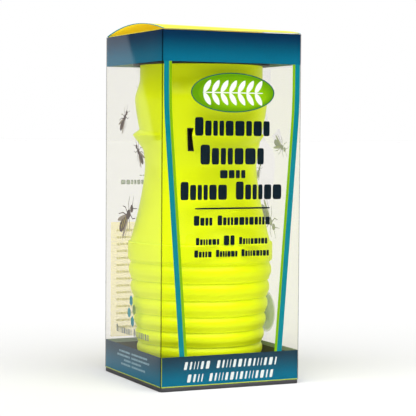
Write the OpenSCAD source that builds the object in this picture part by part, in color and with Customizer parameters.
// Hanging wasp trap, standing closed in its clear retail carton.
// Millimetres. +Z is up, the carton's front faces -Y, and the origin is the middle of its underside.

/* [Catch jar] */
// Outside radius of the jar's wide top band
belly_r = 55; // [50:0.5:70]
// Outside radius of the jar at its foot
foot_r = 45; // [38:0.5:50]
// Height of the jar from its foot to its rim
jar_h = 103; // [98:1:140]
// Wall of the jar
jar_wall = 1.4; // [1:0.1:2]
// Number of ribs below the top band
ribs = 7; // [5:1:7]
// Height of the plain foot below the lowest groove
foot_h = 17; // [12:0.5:20]
// How much each groove's pitch grows over the one below it
rib_growth = 0.55; // [0:0.05:0.6]
// Height of the plain band above the top groove
band_h = 14.75; // [14:0.25:17]
// Depth of the grooves between the ribs
groove_depth = 1.6; // [0.8:0.1:2]
// Depth of the socket that the upper body plugs into
socket_h = 11; // [9:0.5:12]

/* [Upper body] */
// Outside radius at the waist
waist_r = 42.3; // [40:0.1:45]
// Outside radius at the shoulder
shoulder_r = 50.2; // [48:0.1:54]
// Outside radius of the neck that carries the lid
neck_r = 46.5; // [44:0.1:50]
// Height of the flare from the jar's rim to the waist
flare_h = 57.5; // [45:0.5:75]
// Height of the chest from the waist to the shoulder
chest_h = 49; // [42:0.5:60]
// Height of the slope from the shoulder to the neck
collar_h = 17; // [12:0.5:22]
// Height of the straight neck
neck_h = 20; // [16:0.5:26]
// Wall of the upper body
body_wall = 1.4; // [1:0.1:2]

/* [Entry ports] */
// Direction of the first port, anticlockwise from +X
port_turn = -124; // [-180:1:180]
// Height of a port's lower edge above the waist
port_rise = 11; // [8:0.5:14]
// Height of a port's slot
port_h = 17; // [12:0.5:20]
// Width of a port's slot
port_w = 4.8; // [4:0.1:7]
// How far the hood stands out from the body at its mouth
hood_out = 7; // [4:0.1:8]
// How far the black tunnel reaches in from the wall
tunnel_len = 9; // [6:0.5:12]
// Wall of the black tunnel
tunnel_wall = 0.7; // [0.5:0.1:1]

/* [Funnel] */
// Radius of the funnel's open throat
throat_r = 9; // [7:0.5:12]
// Depth of the funnel below its flange
funnel_depth = 40; // [25:1:48]
// Wall of the funnel
funnel_wall = 1.2; // [0.8:0.1:1.6]

/* [Trap lid] */
// Wall of the lid's lower flange, with the groove that takes the neck's lugs
lid_wall = 4.9; // [4.5:0.1:6]
// Height of the lid's skirt
lid_skirt_h = 11; // [9:0.5:13]
// Thickness of the lid's deck
deck = 2; // [1.5:0.1:3]
// Radius of the raised crown on the deck
crown_r = 20; // [18:0.5:22]
// Height of the raised crown
crown_h = 3; // [1:0.5:5]

/* [Bait] */
// Room round the vial in its basket
basket_room = 2.8; // [1:0.1:5]
// Length of the basket below the deck
basket_len = 48; // [42:1:54]
// Outside radius of the bait vial
vial_r = 11; // [9.5:0.5:12]
// Height of the vial with its neck
vial_h = 35; // [28:1:38]

/* [Bail] */
// How far the bail's ears stand in from the lid's side
bail_inset = 1.4; // [1.3:0.1:6]
// Width of the bail's flat bar
bail_w = 3.2; // [2.4:0.1:4]
// Thickness of the bail's flat bar
bail_t = 4; // [3:0.1:5]
// Radius of the hole in the hanging eye
eye_r = 4; // [3:0.1:5]
// Radius of the bail's pivot pins
pin_r = 1.6; // [1.2:0.1:1.8]

/* [Carton] */
// Thickness of the clear sheet
sheet = 0.4; // [0.3:0.05:0.6]
// Gap between the trap's widest part and the carton's wall
carton_gap = 0.6; // [0.5:0.1:4]
// Room between the trap's deck and the carton's top fold line
headroom = 10; // [9:0.5:16]
// How high the closing panel bows above the fold line
panel_bow = 6; // [3:0.5:9]
// Length of the tuck flap
tuck_len = 18; // [10:1:24]
// Length of a dust flap
dust_len = 40; // [25:1:48]
// Height of the base tray's outer lip
lip_h = 3; // [2:0.5:5]
// Height of the base tray's inner upstand
upstand_h = 22; // [12:1:23]
// Radius of the tray's corners
tray_corner = 2.5; // [1:0.5:4]

/* [Hidden] */
$fn = 96;

fit = 0.3;        // gap between turned faces that slide on each other
slide = 0.2;      // gap between flat faces that slide on each other
pin_gap = 0.05;   // running clearance of a pin in its bore
over = 1;         // how far a cutter runs past what it cuts
profile_step = 4; // spacing of the points along the upper body's outline

// --- Colours ---
fluorescent = [0.90, 0.97, 0.05];
fluorescent_deep = [0.80, 0.88, 0.06];
black_plastic = [0.09, 0.09, 0.09];
tray_grey = [0.20, 0.20, 0.22];
clear_sheet = [0.80, 0.92, 0.95, 0.25];
panel_yellow = [0.98, 0.86, 0.20];
amber = [0.75, 0.45, 0.12];
white_plastic = [0.93, 0.93, 0.90];

// --- Heights of the trap's stations ---
floor_t = 1.5;
foot_z = floor_t;
seam_z = foot_z + jar_h;
waist_z = seam_z + flare_h;
shoulder_z = waist_z + chest_h;
neck_z = shoulder_z + collar_h;
rim_z = neck_z + neck_h;
deck_z = rim_z + deck;

// --- Jar ---
rib_pitch = (jar_h - foot_h - band_h) / (ribs - 1) - rib_growth * (ribs - 2) / 2;
band_groove_z = foot_z + groove_at(ribs - 1);
band_in_r = belly_r - jar_wall;
socket_z = seam_z - socket_h;
skirt_r = band_in_r - fit;
groove_blend = 3;

// --- Funnel ---
flange_r = band_in_r - slide;
flange_t = funnel_wall;
flange_top = socket_z + flange_t;

// --- Bayonets: lugs on the upper body, an annular groove with entry slots in the jar and in the lid ---
lugs = 3;
lug_angle = 12;
slot_angle = 16;
lug_h = 2;
lug_play = 0.4;
jar_lug_out = 0.55;
jar_lug_z = seam_z - 5.5;
lid_lug_out = 1.5;
lid_lug_z = rim_z - 6;
jar_turn = 30;
lid_turn = 60;

// --- Hoods ---
ports = 3;
port_z = waist_z + port_rise;
hood_tip_z = port_z + port_h - 5.5;
hood_tip_r = body_r(hood_tip_z) + hood_out;
hood_low_z = port_z - 2.8;
hood_high_z = port_z + port_h;
hood_shift = 7;        // how far the hood's own axis lies off the trap's axis
hood_lead = 5;         // how far that axis is turned on from the mouth
hood_back = 15;        // how far the hood runs on past a quarter turn, under the body's skin
mouth_angle = asin(port_w / 2 / hood_tip_r);
hood_r = sqrt(pow(hood_tip_r - hood_shift * cos(hood_lead), 2) + pow(hood_shift * sin(hood_lead), 2));
hood_reach = hood_shift * cos(hood_lead);

// --- Trap lid ---
lid_in_r = neck_r + fit;
lid_r = lid_in_r + lid_wall;
lid_z = rim_z - lid_skirt_h;
lid_upper_r = lid_r - 1.5;
lid_flange_h = 3;
socket_ring_t = 1.5;
socket_ring_h = 8;

// --- Bail ---
pivot_z = deck_z + 3;
ear_t = 3.2;
ear_gap = 0.4;
ear_x = lid_upper_r - bail_inset - ear_t;
bail_r = ear_x - ear_gap - bail_w / 2;
ear_half = 3.4;
hub_r = 2.4;
eye_rim = 2.4;
eye_y = bail_r - bail_w / 2 - eye_r;

// --- Carton, sized from the trap it holds ---
widest_r = max(belly_r, hood_tip_r, lid_r, shoulder_r);
box_w = 2 * (widest_r + carton_gap + sheet);
in_half = box_w / 2 - sheet;
panel_half = in_half - sheet;

// --- Tuck flap: it leans in, and its foot stays above the lid's flange, or above the deck where it would meet the lid ---
tuck_y = panel_half - 0.2;
tuck_inset = 3.74;
tuck_lean = asin(tuck_inset / tuck_len);
tuck_drop = tuck_len * cos(tuck_lean);
tuck_foot_z = tuck_y - tuck_inset - sheet > lid_upper_r ? lid_z + lid_flange_h : deck_z;

// --- Carton's top ---
fold_z = max(deck_z + headroom, tuck_foot_z + tuck_drop + 1);
crease = sheet / 2;
panel_z = fold_z + sheet + 0.05;
panel_rad = (pow(panel_half, 2) + pow(panel_bow, 2)) / (2 * panel_bow);
tuck_z = panel_z - 0.05;
dust_start = 0.4;
dust_front = 2.5;
dust_back = 5.2;
dust_chamfer = 0.8;

// --- Base tray ---
upstand_t = 0.8;
upstand_out = in_half - slide;

// Height above the foot of groove i, counted from the lowest
function groove_at(i) = foot_h + rib_pitch * i + rib_growth * i * (i - 1) / 2;
// Eased step from 0 to 1
function ease(u) = (1 - cos(180 * u)) / 2;
// Line that the rib crests follow
function crest_r(h) = foot_r + (belly_r - foot_r) * pow(min(1, h / (band_groove_z - foot_z)), 0.9);
// Outline of the upper body: flare, chest, collar and neck
function body_r(z) =
    z <= waist_z ? waist_r + (skirt_r - waist_r) * pow(max(0, (waist_z - z)) / flare_h, 1.5) :
    z <= shoulder_z ? waist_r + (shoulder_r - waist_r) * chest_shape((z - waist_z) / chest_h) :
    z <= neck_z ? shoulder_r + (neck_r - shoulder_r) * ease((z - shoulder_z) / collar_h) :
    neck_r;
function chest_shape(u) = (u + ease(u)) / 2;

// Points of one rib between the grooves at heights a and b, rounded over its crest
rib_steps = 6;
function rib_points(a, b) = [
    for (k = [0:rib_steps - 1])
        let (u = k / rib_steps, h = a + (b - a) * u)
        [crest_r((a + b) / 2) - groove_depth * pow(abs(cos(180 * u)), 3), foot_z + h]
];
jar_outline = concat(
    [[foot_r - 6, foot_z], [foot_r - 2.2, foot_z + 0.8], [foot_r - 0.4, foot_z + 3],
     [foot_r, foot_z + 6], [foot_r + 0.3, foot_z + foot_h - 3]],
    [for (i = [0:ribs - 2]) each rib_points(groove_at(i), groove_at(i + 1))],
    [[belly_r - groove_depth, band_groove_z], [belly_r - 0.4, band_groove_z + 1.4],
     [belly_r, band_groove_z + groove_blend], [belly_r, seam_z - 0.8], [belly_r - 0.5, seam_z]]
);
jar_inside = [
    [band_in_r, seam_z],
    [band_in_r, socket_z],
    [belly_r - groove_depth - jar_wall, socket_z],
    [belly_r - groove_depth - jar_wall, band_groove_z],
    [foot_r - groove_depth - jar_wall, foot_z + foot_h],
    [foot_r - jar_wall - 1, foot_z + 5],
    [foot_r - 7, foot_z + jar_wall]
];

// Outline of the upper body between two heights, drawn in by inset
function body_points(z0, z1, inset) =
    let (n = ceil((z1 - z0) / profile_step))
    [for (k = [0:n]) let (z = z0 + (z1 - z0) * k / n) [body_r(z) - inset, z]];

// Solid of revolution under a list of [radius, height] points
module turned(points) {
    rotate_extrude()
        polygon(concat([[0, points[0][1]]], points, [[0, points[len(points) - 1][1]]]));
}

// Ring between two radii
module ring(r_out, r_in, z0, z1) {
    translate([0, 0, z0])
        difference() {
            cylinder(r = r_out, h = z1 - z0);
            translate([0, 0, -over]) cylinder(r = r_in, h = z1 - z0 + 2 * over);
        }
}

// One segment of a ring, centred on the +X direction
module ring_segment(r_out, r_in, z0, z1, angle) {
    rotate([0, 0, -angle / 2])
        rotate_extrude(angle = angle)
            translate([r_in, z0]) square([r_out - r_in, z1 - z0]);
}

module around(n) {
    for (i = [0:n - 1]) rotate([0, 0, 360 * i / n]) children();
}

// Groove that lets the lugs turn, with flat-sided slots to the open edge where they enter
module bayonet_cut(r_in, r_out, lug_z, edge_z, turn) {
    slot_w = 2 * r_out * sin(slot_angle / 2);
    low_z = min(edge_z, lug_z + lug_h / 2);
    ring(r_out, r_in - over, lug_z - lug_play, lug_z + lug_h + lug_play);
    around(lugs)
        rotate([0, 0, turn])
            translate([r_in - over, -slot_w / 2, low_z])
                cube([r_out - r_in + over - 0.1, slot_w, max(edge_z, lug_z + lug_h / 2) - low_z]);
}

// ---------------------------------------------------------------- trap

module catch_jar() {
    color(fluorescent)
        difference() {
            turned(jar_outline);
            rotate_extrude()
                polygon(concat([[0, seam_z + over], [band_in_r, seam_z + over]], jar_inside,
                               [[0, foot_z + jar_wall]]));
            bayonet_cut(band_in_r, band_in_r + jar_lug_out + 0.25, jar_lug_z, seam_z + over, jar_turn);
        }
}

module one_way_funnel() {
    top_r = flange_r - 3;
    low_z = socket_z - funnel_depth;
    color(fluorescent_deep)
        rotate_extrude()
            polygon([
                [flange_r, flange_top], [flange_r, socket_z],
                [top_r, socket_z], [throat_r + funnel_wall, low_z + 4], [throat_r + funnel_wall, low_z],
                [throat_r, low_z], [throat_r, low_z + 4.4], [top_r - funnel_wall, flange_top]
            ]);
}

// Turned solid of one hood about its own axis, kept to the side of the mouth that it covers
module hood(inset, drop) {
    axis_angle = mouth_angle + hood_lead;
    intersection() {
        translate([hood_shift * cos(axis_angle), hood_shift * sin(axis_angle), 0])
            turned([
                [body_r(hood_low_z) - hood_reach - 0.8 - inset, hood_low_z],
                [hood_r - inset, hood_tip_z - drop / 2],
                [hood_r - 0.6 - inset, hood_tip_z + 1.4 - drop],
                [body_r(hood_high_z) - hood_reach - 0.8 - inset, hood_high_z - drop]
            ]);
        translate([-hood_back, port_w / 2 - (inset > 0 ? 0.4 : 0), hood_low_z - over])
            cube([hood_tip_r + hood_back + over, hood_tip_r, hood_high_z - hood_low_z + 2 * over]);
    }
}

module port_window(inset) {
    translate([waist_r - tunnel_len - 10, -port_w / 2 + inset, port_z + inset])
        cube([hood_tip_r, port_w - 2 * inset, port_h - 2 * inset]);
}

module entry_body() {
    color(fluorescent)
        difference() {
            union() {
                turned(concat([[skirt_r, flange_top]], body_points(seam_z, rim_z, 0)));
                rotate([0, 0, port_turn]) around(ports) hood(0, 0);
                around(lugs)
                    ring_segment(skirt_r + jar_lug_out, skirt_r - 0.5, jar_lug_z, jar_lug_z + lug_h, lug_angle);
                around(lugs)
                    ring_segment(neck_r + lid_lug_out, neck_r - 0.5, lid_lug_z, lid_lug_z + lug_h, lug_angle);
            }
            rotate_extrude()
                polygon(concat(
                    [[0, flange_top - over], [skirt_r - body_wall, flange_top - over]],
                    body_points(seam_z, rim_z, body_wall),
                    [[neck_r - body_wall, rim_z + over], [0, rim_z + over]]));
            rotate([0, 0, port_turn]) around(ports) {
                hood(body_wall, 1.2);
                port_window(0);
            }
        }
}

// Black lining of one port: a slot tunnel that runs in from the wall
module port_tunnel(i) {
    mid_z = port_z + port_h / 2;
    color(black_plastic)
        rotate([0, 0, port_turn + 360 * (i - 1) / ports])
            intersection() {
                difference() {
                    port_window(0);
                    port_window(tunnel_wall);
                }
                difference() {
                    turned(body_points(port_z - over, port_z + port_h + over, 0.2));
                    translate([0, 0, port_z - 2 * over])
                        cylinder(r = body_r(mid_z) - tunnel_len, h = port_h + 4 * over);
                }
            }
}

module top_lid() {
    color(black_plastic)
        difference() {
            union() {
                turned([
                    [lid_r - 0.6, lid_z], [lid_r, lid_z + 0.6], [lid_r, lid_z + lid_flange_h - 0.6],
                    [lid_upper_r, lid_z + lid_flange_h], [lid_upper_r, deck_z - 1.2],
                    [lid_upper_r - 1.2, deck_z], [crown_r, deck_z], [crown_r - 2, deck_z + crown_h],
                ]);
                for (side = [-1, 1])
                    translate([side * (ear_x + ear_t / 2), 0, 0]) ear();
            }
            difference() {
                translate([0, 0, lid_z - over]) cylinder(r = lid_in_r, h = lid_skirt_h + over);
                ring(basket_r + 0.1 + socket_ring_t, basket_r + 0.1, rim_z - socket_ring_h, rim_z + over);
            }
            bayonet_cut(lid_in_r, neck_r + lid_lug_out + fit, lid_lug_z, lid_z - over, lid_turn);
        }
}

// Bearing ear for a bail pin, bored along X
module ear() {
    difference() {
        union() {
            translate([-ear_t / 2, -ear_half, deck_z - 0.5]) cube([ear_t, 2 * ear_half, pivot_z - deck_z + 0.5]);
            translate([-ear_t / 2, 0, pivot_z]) rotate([0, 90, 0]) cylinder(r = ear_half, h = ear_t);
        }
        translate([-ear_t / 2 - over, 0, pivot_z]) rotate([0, 90, 0])
            cylinder(r = pin_r + pin_gap, h = ear_t + 2 * over);
    }
}

module bail() {
    color(black_plastic)
        translate([0, 0, pivot_z])
            difference() {
                union() {
                    rotate_extrude(angle = 180)
                        translate([bail_r - bail_w / 2, -bail_t / 2]) square([bail_w, bail_t]);
                    for (side = [-1, 1]) {
                        translate([side * bail_r - bail_w / 2, 0, 0]) rotate([0, 90, 0])
                            cylinder(r = hub_r, h = bail_w);
                        translate([side * (ear_x + ear_t / 2) - ear_t / 2 - ear_gap - 0.2, 0, 0])
                            rotate([0, 90, 0]) cylinder(r = pin_r, h = ear_t + 2 * ear_gap + 0.4);
                    }
                    translate([0, eye_y, -bail_t / 2]) cylinder(r = eye_r + eye_rim, h = bail_t);
                }
                translate([0, eye_y, -bail_t]) cylinder(r = eye_r, h = 2 * bail_t);
            }
}

// ---------------------------------------------------------------- bait

basket_wall = 1.2;
basket_r = vial_r + basket_room + basket_wall;
basket_z = rim_z - basket_len;
windows = 6;
window_w = 6;
module bait_basket() {
    color(fluorescent_deep)
        difference() {
            translate([0, 0, basket_z]) cylinder(r = basket_r, h = basket_len);
            translate([0, 0, basket_z + basket_wall]) cylinder(r = basket_r - basket_wall, h = basket_len);
            around(windows)
                translate([0, -window_w / 2, basket_z + 5]) cube([basket_r + over, window_w, basket_len - 20]);
            translate([0, 0, basket_z - over]) cylinder(r = 3, h = basket_wall + 2 * over);
        }
}

vial_wall = 1;
vial_z = basket_z + basket_wall;
vial_neck_r = vial_r - 2.5;
vial_neck_h = 7;
module bait_vial() {
    color(amber)
        rotate_extrude()
            polygon([
                [0, vial_z], [vial_r - 1, vial_z], [vial_r, vial_z + 1],
                [vial_r, vial_z + vial_h - vial_neck_h - 2.5], [vial_neck_r, vial_z + vial_h - vial_neck_h],
                [vial_neck_r, vial_z + vial_h], [vial_neck_r - vial_wall, vial_z + vial_h],
                [vial_neck_r - vial_wall, vial_z + vial_h - vial_neck_h - 0.5],
                [vial_r - vial_wall, vial_z + vial_h - vial_neck_h - 3], [vial_r - vial_wall, vial_z + vial_wall],
                [0, vial_z + vial_wall]
            ]);
}

module vial_cap() {
    cap_z = vial_z + vial_h - vial_neck_h + 0.5;
    cap_h = vial_neck_h + 0.7;
    color(white_plastic)
        difference() {
            translate([0, 0, cap_z]) cylinder(r = vial_neck_r + 1.6, h = cap_h);
            translate([0, 0, cap_z - over]) cylinder(r = vial_neck_r + 0.1, h = vial_neck_h - 0.5 + over);
            around(3) translate([3.2, 0, cap_z]) cylinder(r = 1, h = cap_h + over);
        }
}

// ---------------------------------------------------------------- carton

module rounded_plate(half_x, half_y, corner, z0, z1) {
    translate([0, 0, z0])
        linear_extrude(height = z1 - z0)
            union() {
                square([2 * (half_x - corner), 2 * half_y], center = true);
                square([2 * half_x, 2 * (half_y - corner)], center = true);
                for (x = [-1, 1], y = [-1, 1])
                    translate([x * (half_x - corner), y * (half_y - corner)]) circle(r = corner);
            }
}

module square_tube(half_out, half_in, z0, z1) {
    difference() {
        translate([-half_out, -half_out, z0]) cube([2 * half_out, 2 * half_out, z1 - z0]);
        translate([-half_in, -half_in, z0 - over]) cube([2 * half_in, 2 * half_in, z1 - z0 + 2 * over]);
    }
}

module base_tray() {
    upstand_in = upstand_out - upstand_t;
    color(tray_grey)
        union() {
            difference() {
                rounded_plate(box_w / 2, box_w / 2, tray_corner, 0, lip_h);
                translate([-upstand_in, -upstand_in, floor_t]) cube([2 * upstand_in, 2 * upstand_in, lip_h]);
            }
            square_tube(upstand_out, upstand_in, lip_h - 0.5, upstand_h);
            ring(foot_r + fit + 1.2, foot_r + fit, floor_t - 0.5, floor_t + 4);
        }
}

module carton_sleeve() {
    color(clear_sheet)
        square_tube(box_w / 2, in_half, lip_h, fold_z);
}

module carton_lid() {
    centre_z = panel_z - sqrt(pow(panel_rad, 2) - pow(panel_half, 2));
    color(panel_yellow)
        intersection() {
            translate([-panel_half, 0, centre_z])
                rotate([0, 90, 0])
                    difference() {
                        cylinder(r = panel_rad + sheet, h = 2 * panel_half);
                        translate([0, 0, -over]) cylinder(r = panel_rad, h = 2 * panel_half + 2 * over);
                    }
            translate([-panel_half - over, -panel_half, panel_z - sheet])
                cube([2 * panel_half + 2 * over, 2 * panel_half, panel_bow + 3 * sheet]);
        }
}

module tuck_flap() {
    half = panel_half - 4;
    color(panel_yellow)
        translate([0, tuck_y, tuck_z])
            rotate([-tuck_lean, 0, 0])
                rotate([90, 0, 0])
                    translate([0, 0, -sheet / 2])
                        linear_extrude(height = sheet)
                            polygon([
                                [-half, 0], [half, 0],
                                [half - 3, -tuck_len + 4], [half - 8, -tuck_len],
                                [-half + 8, -tuck_len], [-half + 3, -tuck_len + 4]
                            ]);
}

module dust_flap(side) {
    root = in_half - dust_start + crease;
    color(panel_yellow)
        mirror([side > 0 ? 1 : 0, 0, 0])
            translate([-root, 0, fold_z])
                linear_extrude(height = sheet)
                    polygon([
                        [0, -in_half + dust_front], [dust_len, -in_half + dust_front + dust_chamfer * dust_len],
                        [dust_len, in_half - dust_back - 6], [dust_len - 4, in_half - dust_back - 1],
                        [0, in_half - dust_back]
                    ]);
}
module dust_flap_left() { dust_flap(-1); }
module dust_flap_right() { dust_flap(1); }

base_tray();
catch_jar();
one_way_funnel();
entry_body();
port_tunnel(1);  // port_tunnel_1
port_tunnel(2);  // port_tunnel_2
port_tunnel(3);  // port_tunnel_3
top_lid();
bait_basket();
bait_vial();
vial_cap();
bail();
carton_sleeve();
carton_lid();
tuck_flap();
dust_flap_left();
dust_flap_right();
